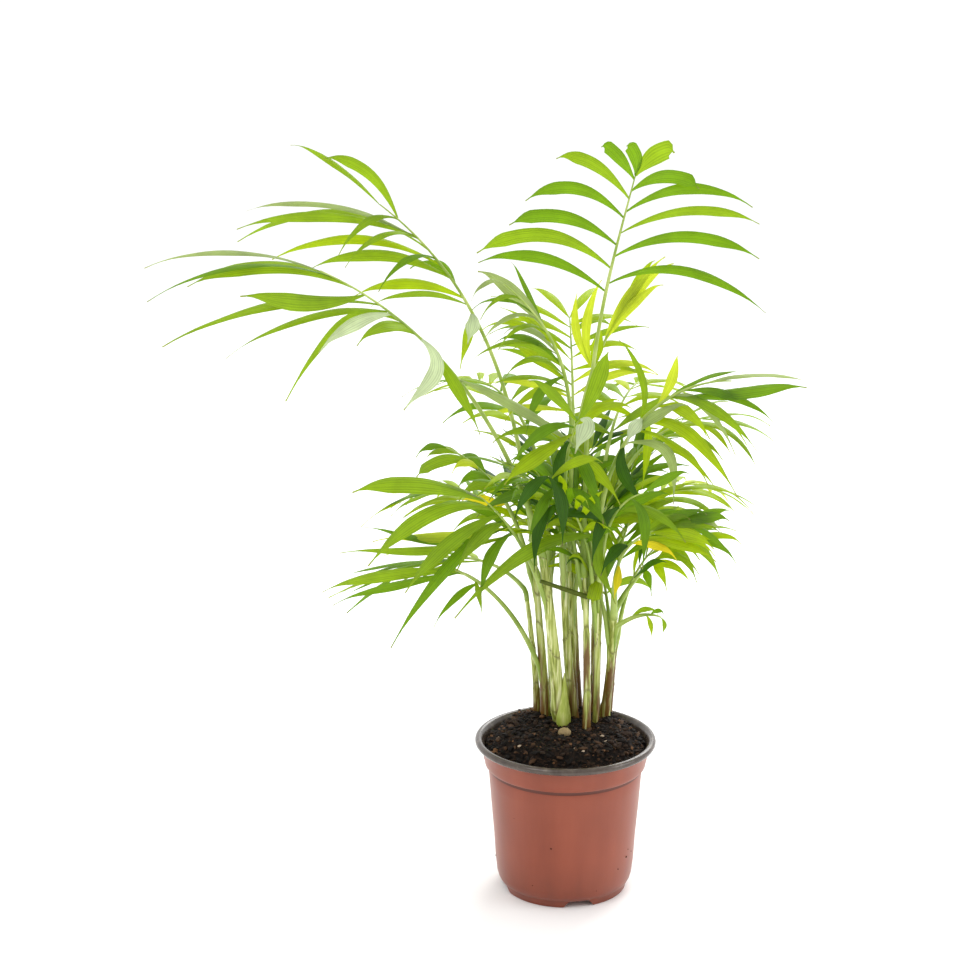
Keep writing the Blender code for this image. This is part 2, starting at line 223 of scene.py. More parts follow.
pot_cutters = []
for i in range(NOTCHES):
    angle = math.radians(NOTCH_HEADING + 360.0 * i / NOTCHES)
    notch = new_shape("notch", bpy.ops.mesh.primitive_cube_add, size=1.0,
                      location=around(FOOT_RADIUS, angle, 0.0) * MM, rotation=(0.0, 0.0, angle),
                      scale=[side * MM for side in NOTCH_SIZE])
    for corner in notch.data.vertices:
        if corner.co.z < 0.0:
            corner.co.y *= NOTCH_FLARE
    rounded = notch.modifiers.new("rounded", "BEVEL")
    rounded.width = NOTCH_ROUNDING * MM
    rounded.segments = 4
    bpy.ops.object.transform_apply(location=True, rotation=True, scale=True)
    apply_modifiers(notch)
    pot_cutters.append(notch)
for i in range(DRAIN_HOLES):
    angle = math.radians(NOTCH_HEADING + 360.0 * (i + 0.5) / DRAIN_HOLES)
    pot_cutters.append(new_shape(
        "drain", bpy.ops.mesh.primitive_cylinder_add, vertices=20, radius=DRAIN_RADIUS * MM,
        depth=20.0 * MM, location=around(DRAIN_RING, angle, 5.0) * MM))
cut_away(pot, pot_cutters)
soft_edge = pot.modifiers.new("soft_edge", "BEVEL")
soft_edge.width = 0.25 * MM
soft_edge.segments = 2
soft_edge.angle_limit = math.radians(42.0)
apply_modifiers(pot)
bpy.ops.object.shade_smooth_by_angle(angle=math.radians(40.0))

# Polypropylene, moulded satin: a soft broad gleam, faint streaks where the sheet was drawn
# down, a fine grain drawn at 0.7 mm so that it shows, splashes of soil near the foot, and
# a dark line of painted shade in the groove under the collar
terracotta, tree, place = start_material("terracotta_polypropylene")
streaks = noise_pattern(tree, place, 70.0, 4.0, upright=0.12)
cloud = noise_pattern(tree, place, 26.0)
tone = add_node(tree, "Mix", {"Factor": 0.35, 2: streaks, 3: cloud}, data_type="FLOAT").outputs[0]
body = colour_ramp(tree, tone, [(0.25, "#7C361F"), (0.5, "#883D24"), (0.75, "#94452B")])
height = add_node(tree, "SeparateXYZ", {"Vector": place}).outputs["Z"]
low = remap(tree, height, 0.5, 0.0, 0.004, 0.034)
dirt = reckon(tree, "MULTIPLY", low, noise_pattern(tree, place, 90.0, 5.0))
soiled = mix_colours(tree, dirt, body, linear("#4A2A1E"))
# A band of darker colour at the groove's height under the collar: painted shade
painted_groove_shade = reckon(tree, "COMPARE", height, GROOVE_LEVEL, 0.0013)
groove_shaded = mix_colours(tree, painted_groove_shade, soiled, linear("#5E2A1A"))
grain = noise_pattern(tree, place, 1400.0, 1.0)
finish_skin(tree, {"Base Color": groove_shaded, "Roughness": remap(tree, streaks, 0.28, 0.40),
                   "IOR": 1.5, "Normal": bumps(tree, grain, 0.05, 0.0004)})

# The same plastic's black inner layer, a little dusty, with a grey gleam along the roll
black_layer, tree, place = start_material("black_polypropylene")
dusty = colour_ramp(tree, noise_pattern(tree, place, 160.0, 4.0),
                    [(0.35, "#40362F"), (0.6, "#52473F"), (0.8, "#7A6E64")])
grain = noise_pattern(tree, place, 1400.0, 1.0)
finish_skin(tree, {"Base Color": dusty, "Roughness": 0.24, "IOR": 1.5,
                   "Normal": bumps(tree, grain, 0.06, 0.0004)})

pot.data.materials.clear()
pot.data.materials.append(terracotta)
pot.data.materials.append(black_layer)
# Lip and inside are black, and the outer wall is terracotta
wall_radius, wall_height = zip(*POT_UNDERSIDE[-4:], *POT_WALL)
for face in pot.data.polygons:
    x, y, z = face.center / MM
    outside = math.hypot(x, y) - np.interp(z, wall_height, wall_radius)
    inside = z > FLOOR_MIDDLE and outside < -0.5 * SHEET_THICKNESS
    face.material_index = 1 if inside or z > LIP_START else 0
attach(pot, "root")
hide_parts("pot")

# The soil
# Moist peat potting mix, a raised root ball with a dip beside the pot's wall for water. Its
# face is built up from loose crumbs, bark shreds and a few pale bits of perlite and root.
SOIL_RADIUS = 52.7
SOIL_SIDE = ((52.2, 92.0), (48.2, 84.5), (46.5, 50.0), (44.5, 25.0), (43.0, 6.2))
SOIL_BOTTOM = SOIL_SIDE[-1][1]
TOP_SHARE, SIDE_SHARE = 0.85, 0.995  # of the way from the sphere's upper pole to the lower
SOIL_TOP = ((0.0, 112.2), (34.0, 111.6), (40.0, 110.2), (44.0, 107.0), (48.0, 102.5),
            (SOIL_RADIUS, 99.6))
CRUMBS = 2600


def soil_height(x, y):
    radius = math.hypot(x, y)
    base = np.interp(radius, *zip(*SOIL_TOP))
    lumps = 1.5 * noise.noise(Vector((x, y, 0.0)) / 9.0)
    return base + (lumps + 0.7 * noise.noise(Vector((x, y, 5.0)) / 3.5))


soil = new_shape("soil_ball", bpy.ops.mesh.primitive_uv_sphere_add,
                 segments=144, ring_count=72, radius=1.0)
for vertex in soil.data.vertices:
    turn = math.atan2(vertex.co.y, vertex.co.x)
    down = math.acos(max(-1.0, min(1.0, vertex.co.z))) / math.pi
    if down < TOP_SHARE:
        radius = SOIL_RADIUS * down / TOP_SHARE
        level = soil_height(radius * math.cos(turn), radius * math.sin(turn))
    elif down < SIDE_SHARE:
        share = (down - TOP_SHARE) / (SIDE_SHARE - TOP_SHARE) * (len(SOIL_SIDE) - 1)
        radius, level = (np.interp(share, range(len(SOIL_SIDE)), row) for row in zip(*SOIL_SIDE))
    else:
        radius, level = 0.0, SOIL_BOTTOM
    vertex.co = Vector(around(radius, turn, level)) * MM
bpy.ops.object.shade_smooth()

# Peat is nearly black when moist, with browner fibres through it
peat, tree, place = start_material("moist_peat")
clod = noise_pattern(tree, place, 420.0, 6.0)
dark = colour_ramp(tree, clod, [(0.40, "#0A0705"), (0.55, "#1C130C"), (0.70, "#38281C")])
finish_skin(tree, {"Base Color": dark, "Roughness": 0.85, "Specular IOR Level": 0.15,
                   "Normal": bumps(tree, clod, 0.8, 0.0015)})
soil.data.materials.append(peat)
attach(soil, "root")
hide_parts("soil")


def tinted(tree, code, value):
    return add_node(tree, "HueSaturation", {"Color": linear(code), "Value": value}).outputs[0]


def plain_finish(name, code, roughness, mottle=0.12, size=2.0):
    """A crumb's or a shred's finish: one base colour with a mottle of the given size."""
    material, tree, place = start_material(name)
    value = remap(tree, noise_pattern(tree, place, 1.0 / (size * MM)), 1.0 - mottle, 1.0 + mottle)
    finish_skin(tree, {"Base Color": tinted(tree, code, value), "Roughness": roughness,
                       "Specular IOR Level": 0.2})
    return material


def joined_mesh(name, verts, faces, kinds, materials):
    """One object from arrays: points in millimetres, faces, and each face's material."""
    mesh = bpy.data.meshes.new(name)
    mesh.from_pydata([tuple(p) for p in np.asarray(verts) * MM], [], faces)
    for material in materials:
        mesh.materials.append(material)
    mesh.polygons.foreach_set("material_index", kinds)
    mesh.update()
    return new_object(name, mesh)


pebble = new_shape("pebble", bpy.ops.mesh.primitive_ico_sphere_add, subdivisions=1, radius=1.0)
pebble_points = np.array([v.co for v in pebble.data.vertices])
pebble_faces = [list(p.vertices) for p in pebble.data.polygons]
bpy.data.objects.remove(pebble, do_unlink=True)


def scatter(draws, spots):
    """Crumbs at spots, each (centre, size along, across and high, heading), as arrays."""
    verts, faces = [], []
    for centre, size, heading in spots:
        rough = pebble_points * [[draws.uniform(0.7, 1.2)] for _ in pebble_points]
        rough = rough * size
        tilt = draws.uniform(-0.5, 0.5)
        c, s = math.cos(heading), math.sin(heading)
        ct, st = math.cos(tilt), math.sin(tilt)
        turned = rough @ np.array([[ct, 0, st], [0, 1, 0], [-st, 0, ct]])
        turned = turned @ np.array([[c, s, 0], [-s, c, 0], [0, 0, 1]])
        faces += [[i + len(verts) for i in face] for face in pebble_faces]
        verts += list(turned + centre)
    return verts, faces


draws = random.Random(11)
crumb_spots, crumb_kinds = [], []
for _ in range(CRUMBS):
    radius = 51.5 * math.sqrt(draws.random())
    turn = draws.uniform(0.0, 2.0 * math.pi)
    x, y = radius * math.cos(turn), radius * math.sin(turn)
    size = min(0.35 + draws.expovariate(1.9), 2.2)
    long = draws.choice((1.0, 1.2, 1.6, 2.6))
    sides = np.array([size * long, size, size * draws.uniform(0.4, 0.8)])
    crumb_spots.append((np.array([x, y, soil_height(x, y) + 0.25 * size]), sides,
                        draws.uniform(0.0, math.pi)))
    crumb_kinds += [draws.choices(range(5), (50, 32, 13, 4.2, 0.8))[0]] * len(pebble_faces)
crumb_verts, crumb_faces = scatter(draws, crumb_spots)
crumbs = joined_mesh("soil_crumbs", crumb_verts, crumb_faces, crumb_kinds, [
    plain_finish("peat_crumb_black", "#120C08", 0.8),
    plain_finish("peat_crumb_brown", "#2B1D13", 0.85),
    plain_finish("composted_bark", "#442F1E", 0.8),
    plain_finish("bark_fibre", "#6A4A30", 0.8),
    plain_finish("perlite_bit", "#B3A08A", 0.9)])
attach(crumbs, "root")

# A few crumbs of soil have stuck to the pot's wall, each at a heading and a height
STUCK_CRUMBS = ((259.6, 44.6, 0.8), (331.0, 28.6, 0.9), (320.0, 23.2, 0.6), (341.4, 29.5, 0.6),
                (333.6, 33.6, 0.5), (298.0, 12.0, 0.4), (243.0, 15.5, 0.4), (228.0, 61.0, 0.35),
                (150.0, 30.0, 0.7), (96.0, 52.0, 0.6), (52.0, 18.0, 0.8), (14.0, 63.0, 0.45),
                (187.0, 21.0, 0.7), (120.0, 12.0, 0.5))
draws = random.Random(4)
stuck_spots = []
for heading, level, size in STUCK_CRUMBS:
    turn = math.radians(heading)
    radius = np.interp(level, wall_height, wall_radius)
    stuck_spots.append((around(radius, turn, level), np.array([size * 0.5, size, size]), turn))
stuck_verts, stuck_faces = scatter(draws, stuck_spots)
stuck = joined_mesh("stuck_crumbs", stuck_verts, stuck_faces, [0] * len(stuck_faces),
                    [plain_finish("dried_peat", "#3A1A10", 0.9)])
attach(stuck, "root")

# A pale palm seed lies on the soil in front of the thickest stem
SEED_SPOT = (-0.6, -16.6)
SEED_SIZE = (4.2, 3.4, 3.3)
seed = new_shape("palm_seed", bpy.ops.mesh.primitive_uv_sphere_add,
                 segments=32, ring_count=20, radius=1.0)
seed_centre = Vector((*SEED_SPOT, soil_height(*SEED_SPOT) + 1.6))
for vertex in seed.data.vertices:
    dimple = 1.0 + 0.08 * noise.noise(vertex.co * 2.2)
    vertex.co = (Vector(c * s for c, s in zip(vertex.co, SEED_SIZE)) * dimple + seed_centre) * MM
bpy.ops.object.shade_smooth()
seed.data.materials.append(plain_finish("seed_husk", "#94805A", 0.6, 0.5, 1.0))
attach(seed, "root")

# The stems
# Young cane of a parlour palm: thin, fibrous and pale green, wrapped in the sheaths of old
# leaves. A sheath ends in a slanting mouth with a dry papery rim, and leaves a ring below.
STEM_FOOT = 112.3
STEM_RINGS = 110
SHEATH = 0.26  # the thickness of one


class Stem(NamedTuple):
    name: str
    foot: tuple  # x, y on the soil
    top: tuple  # x, y, z
    radius: tuple  # at the foot, at the top
    bow: float  # how far the middle stands out of the straight line


STEMS = (
    Stem("left_outer", (-19, 29), (-27, 21, 198), (2.3, 1.7), 1.5),
    Stem("left", (-13, 20), (-22, 17, 226), (3.3, 2.3), 1.0),
    Stem("front_left", (-4, 9), (-16, -2, 231), (4.6, 2.8), 1.5),
    Stem("front", (5, 16), (-3, 5, 228), (3.4, 2.4), -1.0),
    Stem("mid", (6, 31), (1, 19, 221), (2.1, 1.7), 0.5),
    Stem("right_front", (14, -2), (11, 4, 222), (3.6, 2.6), -1.0),
    Stem("right_inner", (20, 8), (19, 3, 224), (3.0, 2.2), 1.0),
    Stem("right", (26, 20), (31, 6, 190), (3.1, 2.4), 1.0),
    Stem("right_outer", (28, 27), (32, 17, 186), (2.8, 2.1), 1.0),
    Stem("right_rear", (20, 26), (23, 22, 213), (2.8, 2.1), -0.5),
    Stem("rear_left", (-8, 32), (-12, 35, 219), (3.0, 2.2), 1.0),
    Stem("rear_mid", (8, 37), (4, 39, 221), (3.0, 2.2), 1.0),
    Stem("rear_right", (20, 33), (20, 36, 217), (2.8, 2.2), 1.0),
)


def between(ends, share):
    """The value at a share of the way between two ends."""
    return ends[0] + (ends[1] - ends[0]) * share


def stem_share(stem, level):
    """The share of a stem's height at a level over the ground."""
    return (level - STEM_FOOT) / (stem.top[2] - STEM_FOOT)


def stem_axis(stem, share):
    """The point of a stem's middle line at a share of its height, and its radius there."""
    foot = np.array([*stem.foot, STEM_FOOT], float)
    top = np.array(stem.top, float)
    across = np.array([foot[1] - top[1], top[0] - foot[0], 0.0])
    across = across / max(np.linalg.norm(across), 1.0)
    point = between((foot, top), share) + across * stem.bow * math.sin(math.pi * share)
    return point, between(stem.radius, max(share, 0.0) ** 0.7)


def rod(name, points, radii, sides):
    """A round rod with closed ends along points in millimetres, as a smooth mesh."""
    curve = bpy.data.curves.new(name, "CURVE")
    curve.dimensions = "3D"
    curve.bevel_depth = MM
    curve.bevel_resolution = (sides - 4) // 2
    curve.use_fill_caps = True
    line = curve.splines.new("POLY")
    line.points.add(len(points) - 1)
    for knot, point, radius in zip(line.points, points, radii):
        knot.co = (*[c * MM for c in point], 1.0)
        knot.radius = radius
    select_only(new_object(name, curve))
    bpy.ops.object.convert(target="MESH")
    bpy.ops.object.mode_set(mode="EDIT")
    bpy.ops.mesh.select_all(action="SELECT")
    bpy.ops.mesh.remove_doubles(threshold=0.00002)
    bpy.ops.mesh.normals_make_consistent(inside=False)
    bpy.ops.object.mode_set(mode="OBJECT")
    bpy.ops.object.shade_smooth()
    return bpy.context.object


def stem_sheaths(stem, draws):
    """Where a stem's sheaths end: height over the soil, slant, heading of the slant."""
    length = stem.top[2] - STEM_FOOT
    ends, level = [], draws.uniform(14.0, 22.0)
    while level < length - 8.0:
        ends.append((level, draws.uniform(4.0, 9.0), draws.uniform(0.0, 2.0 * math.pi)))
        level += draws.uniform(26.0, 44.0)
    ends.append((length - 1.5, 1.2, draws.uniform(0.0, 2.0 * math.pi)))
    return ends


# Cane is silky and fibrous. It browns towards the soil, where old sheaths dry on it
def cane_material(name, browning):
    material, tree, place = start_material(name)
    fibre = noise_pattern(tree, place, 700.0, 3.0, upright=0.03)
    green = colour_ramp(tree, fibre, [(0.36, "#727C22"), (0.46, "#9DA846"), (0.55, "#BCC46E"),
                                      (0.68, "#E0E2AC")])
    height = add_node(tree, "SeparateXYZ", {"Vector": place}).outputs["Z"]
    foot = remap(tree, height, browning, browning - 0.34, 0.112, 0.180)
    blotch = reckon(tree, "ADD", noise_pattern(tree, place, 190.0, 4.0, upright=0.09), foot)
    stain = remap(tree, blotch, 0.0, 1.0, 0.58, 0.72)
    stained = mix_colours(tree, stain, green, linear("#6A4A14"))
    rim = add_node(tree, "Attribute", {}, attribute_name="rim").outputs["Fac"]
    finish_skin(tree, {"Base Color": mix_colours(tree, rim, stained, linear("#6C6A2C")),
                       "Roughness": 0.42, "Normal": bumps(tree, fibre, 0.35, 0.0004),
                       "Subsurface Weight": 0.1, "Subsurface Scale": 1.0,
                       "Subsurface Radius": (0.002, 0.002, 0.0008)})
    return material


fresh_cane = cane_material("green_cane", 0.22)
old_cane = cane_material("browned_cane", 0.31)
BROWNED_STEMS = ("right_front", "mid", "right_outer", "right_rear", "rear_mid")
SLIM_STEMS = ("right_front", "right_inner")


def hump(distance, width):
    return math.exp(-(distance / width) ** 2)


for number, stem in enumerate(STEMS):
    draws = random.Random(100 + number)
    sheaths = stem_sheaths(stem, draws)
    shares = np.linspace(-0.04, 1.0, STEM_RINGS)
    axis = [stem_axis(stem, share) for share in shares]
    item = rod(f"stem_{stem.name}_cane", [point for point, _ in axis], [r for _, r in axis], 16)
    swell = 0.5 if stem.radius[0] < 4.0 else -1.0
    rims = []
    for vertex in item.data.vertices:
        point = np.array(vertex.co) / MM
        middle, radius = stem_axis(stem, stem_share(stem, point[2]))
        out = point[:2] - middle[:2]
        if np.linalg.norm(out) < 0.2 * radius:
            rims.append(0.0)
            continue
        turn = math.atan2(out[1], out[0])
        level = point[2] - STEM_FOOT
        extra = swell * math.exp(-max(level, 0.0) / 7.0) + 0.05 * math.sin(9.0 * turn + level / 9.0)
        if swell < 0.0:
            extra += 0.9 * hump(level - 9.0, 8.0) + 0.4
        rim = 0.0
        for end, slant, side in sheaths:
            over = level - end - slant * math.cos(turn - side)
            wrap = 1.0 / (1.0 + math.exp(over / 0.35))
            extra += SHEATH * wrap + 0.16 * hump(over + 0.8, 1.1) + 0.12 * hump(level - end + 16.0, 0.9)
            rim = max(rim, hump(over + 0.2, 0.9))
        rims.append(rim)
        extra -= SHEATH * sum(1 for end, _, _ in sheaths if end > 30.0)
        if stem.name in SLIM_STEMS:
            extra -= 0.7 + 0.8 * math.exp(-max(level, 0.0) / 12.0)
        moved = middle[:2] + out * (1.0 + extra / radius)
        vertex.co = Vector((*moved, point[2])) * MM
    item.data.materials.append(old_cane if stem.name in BROWNED_STEMS else fresh_cane)
    item.data.attributes.new("rim", "FLOAT", "POINT").data.foreach_set("value", rims)
    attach(item, "root")
    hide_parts("stem_" + stem.name)

# A new shoot, still a closed pear-shaped bud of sheaths, stands against the thickest stem
SHOOT_FOOT = (-1.4, 3.6)
SHOOT_HEIGHT = 38.0
SHOOT_OUTLINE = ((0.0, 4.2), (0.10, 4.9), (0.22, 4.9), (0.36, 4.0), (0.52, 3.0), (0.75, 2.0),
                 (1.0, 0.3))

shoot_shares, shoot_radii = zip(*SHOOT_OUTLINE)
shoot_lift = np.linspace(0.0, 1.0, 30)
shoot = rod("new_shoot", [(SHOOT_FOOT[0] + 0.4 * t, SHOOT_FOOT[1] + 1.5 * t,
                           STEM_FOOT - 3.0 + SHOOT_HEIGHT * t) for t in shoot_lift],
            [np.interp(t, shoot_shares, shoot_radii) for t in shoot_lift], 24)
shoot_skin, tree, place = start_material("shoot_sheath")
fibre = noise_pattern(tree, place, 500.0, upright=0.1)
green = colour_ramp(tree, fibre, [(0.3, "#8E9E34"), (0.55, "#A8B44C"), (0.75, "#C6CC7C")])
finish_skin(tree, {"Base Color": green, "Roughness": 0.4})
shoot.data.materials.append(shoot_skin)
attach(shoot, "root")

# One frond was cut off the front of a stem, and its brown stub of stalk is left
STUB_STEM = "right_front"
STUB_SEAT = (203.0, 264.0)
STUB_AIM = (204.0, 24.0)
STUB_LENGTH = 34.0
STUB_RADII = (1.7, 1.3)


def find_stem(name):
    return next(stem for stem in STEMS if stem.name == name)


def beside_stem(stem, level, heading, out):
    """A point at a height of a stem, moved out along a heading."""
    point, radius = stem_axis(stem, stem_share(stem, level))
    return point + around(radius + out, math.radians(heading), 0.0)


stub_turn, stub_rise = [math.radians(a) for a in STUB_AIM]
stub_aim = np.array([math.cos(stub_rise) * math.cos(stub_turn),
                     math.cos(stub_rise) * math.sin(stub_turn), math.sin(stub_rise)])
stub_foot = beside_stem(find_stem(STUB_STEM), *STUB_SEAT, STUB_RADII[0] + 0.1)
stub_shares = np.linspace(-0.06, 1.0, 16)
stub = rod("cut_stalk_stub", [stub_foot + stub_aim * STUB_LENGTH * s for s in stub_shares],
           [between(STUB_RADII, max(s, 0.0)) for s in stub_shares], 12)
stub.data.materials.append(plain_finish("browned_stalk", "#4C5810", 0.5, 0.35, 3.0))
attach(stub, "root")
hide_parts("cut_stalk")

# The fronds
# Each frond is a smooth green stalk that goes on as the rib, and thin leaflets in two rows
# along it. A leaflet is pleated at its foot, ridged along its middle, and hangs by its tip.
RIB_STEPS = 40
SHORT_STALK = 52.0
STALK_RADII = (1.7, 1.2, 0.45)  # at the foot, where the leaflets start, at the tip
CLASP = ((22.0, 0.55), (15.0, 0.75), (8.0, 0.9))  # (drop under the foot, share of its size)
CLASP_RUN = 24.0  # how far up the stalk it can still be seen
LEAFLET_STEPS = 20
LEAFLET_HOLD = 0.45  # share of its length at which a leaflet starts to taper
END_SPREAD = 26.0
TIP_HANG = 3.0
LEAF_ROWS = (-1.0, -0.62, -0.25, 0.0, 0.25, 0.62, 1.0)


class Frond(NamedTuple):
    name: str
    stem: str
    height: float  # where it leaves the stem; the stem's own top if higher
    length: float  # of the rib, stalk included
    stalk: float  # share of the rib that is bare
    heading: tuple  # at the foot, at the tip
    rise: tuple  # at the foot, at the tip
    bend: float  # a high value holds the bend back to the end of the rib


class Look(NamedTuple):
    width: float  # of a leaflet
    tones: tuple  # leaf materials, the first one most often
    pairs: int  # of leaflets
    facing: float  # heading of the blade as a whole
    reach: tuple  # length of the first and of the last leaflets
    spread: tuple  # angle between leaflet and rib, first and last
    lift: float  # of the leaflets over the rib, an angle
    droop: float  # how far a leaflet's own weight bends it down
    end: float  # length of the last two leaflets, at the rib's tip
    unrest: float = 1.0  # how far the leaflets stray from the rule


class Leaflet(NamedTuple):
    share: float  # of the rib, where the leaflet leaves it
    x: float  # from there to its tip
    y: float
    z: float
    bow: float  # how high its middle stands above a straight line
    width: float
    face: float  # turn of its upper side, from straight up (0) to the front (90)
    tone: str = "fresh"
    sway: float = 0.0  # how far its middle stands to the right of a straight line
    hold: float = 0.5


FRONDS = [Frond(*row) for row in (
    ("left_near", "front_left", 240, 252, 0.54, (184, 218), (75, 26), 1.2),
    ("left_far", "left", 240, 256, 0.60, (129, 190), (80, 38), 1.6),
    ("crown_right", "right_front", 240, 256, 0.70, (95, -35), (89, 74), 1.0),
    ("crown_young", "rear_mid", 240, 165, 0.74, (100, 0), (88, 60), 1.0),
    ("crown_left", "mid", 240, 212, 0.62, (296, 193), (88, 40), 1.6),
    ("right_high", "right_inner", 240, 166, 0.62, (0, 0), (88, -2), 1.7),
    ("right_rear", "right_rear", 240, 132, 0.60, (54, 0), (88, 8), 1.3),
    ("right_low", "right", 240, 92, 0.50, (267, 379), (85, 5), 1.4),
    ("right_low_rear", "right_outer", 240, 78, 0.35, (34, 42), (57, -6), 1.2),
    ("right_foot", "right", 180, 41, 0.55, (327, 306), (40, 0), 1.2),
    ("left_low", "front_left", 205, 95, 0.50, (220, 225), (68, 38), 1.2),
    ("left_low_rear", "left_outer", 240, 95, 0.45, (123, 203), (22, -18), 1.2),
    ("left_foot", "left", 154, 102, 0.85, (201, 238), (67, 24), 1.2),
    ("left_mid", "left", 212, 104, 0.60, (150, 166), (78, 20), 1.3),
    ("front_left", "front", 218, 92, 0.54, (266, 252), (84, 24), 1.5),
    ("front_right", "right_inner", 212, 88, 0.54, (296, 314), (82, 20), 1.5),
    ("front_high", "front", 240, 124, 0.60, (276, 284), (86, 24), 1.6),
    ("rear_left", "rear_left", 240, 152, 0.56, (115, 136), (84, -4), 1.5),
    ("rear_mid", "rear_mid", 210, 176, 0.58, (92, 94), (88, 34), 1.5),
    ("rear_right", "rear_right", 240, 148, 0.56, (76, 66), (84, -2), 1.5),
    ("rear_low_left", "rear_left", 196, 114, 0.46, (150, 158), (66, -14), 1.3),
    ("rear_low", "rear_mid", 190, 120, 0.46, (98, 94), (74, 4), 1.3),
    ("rear_low_right", "rear_right", 198, 112, 0.47, (46, 34), (66, -12), 1.3),
)]
# Fronds of which little shows have their leaflets dealt out by rule
LOOKS = {
    "right_rear": Look(7.0, ("fresh", "sunlit", "painted_part_shade"), 5, 6, (62, 62), (52, 25), 5, 1.1, 56, 1.5),
    "left_low_rear": Look(7.5, ("painted_part_shade", "fresh", "sunlit"), 6, 180, (68, 62), (45, 18), 2, 0.3, 62),
    "rear_left": Look(7.5, ("sunlit", "fresh", "painted_part_shade"), 6, 132, (58, 54), (62, 40), 8, 0.9, 56, 1.6),
    "rear_mid": Look(6.0, ("sunlit", "fresh", "young"), 8, 93, (66, 56), (70, 48), 8, 0.8, 50, 1.5),
    "rear_right": Look(7.0, ("sunlit", "fresh", "young"), 6, 68, (54, 50), (64, 42), 8, 0.9, 52, 1.6),
    "rear_low_left": Look(7.5, ("fresh", "sunlit", "painted_part_shade"), 7, 158, (54, 50), (52, 25), 4, 1.0, 52),
    "rear_low": Look(7.5, ("fresh", "sunlit"), 7, 94, (58, 54), (54, 25), 4, 1.0, 54),
    "rear_low_right": Look(7.5, ("sunlit", "fresh", "young"), 7, 36, (58, 54), (54, 25), 4, 1.0, 54),
}
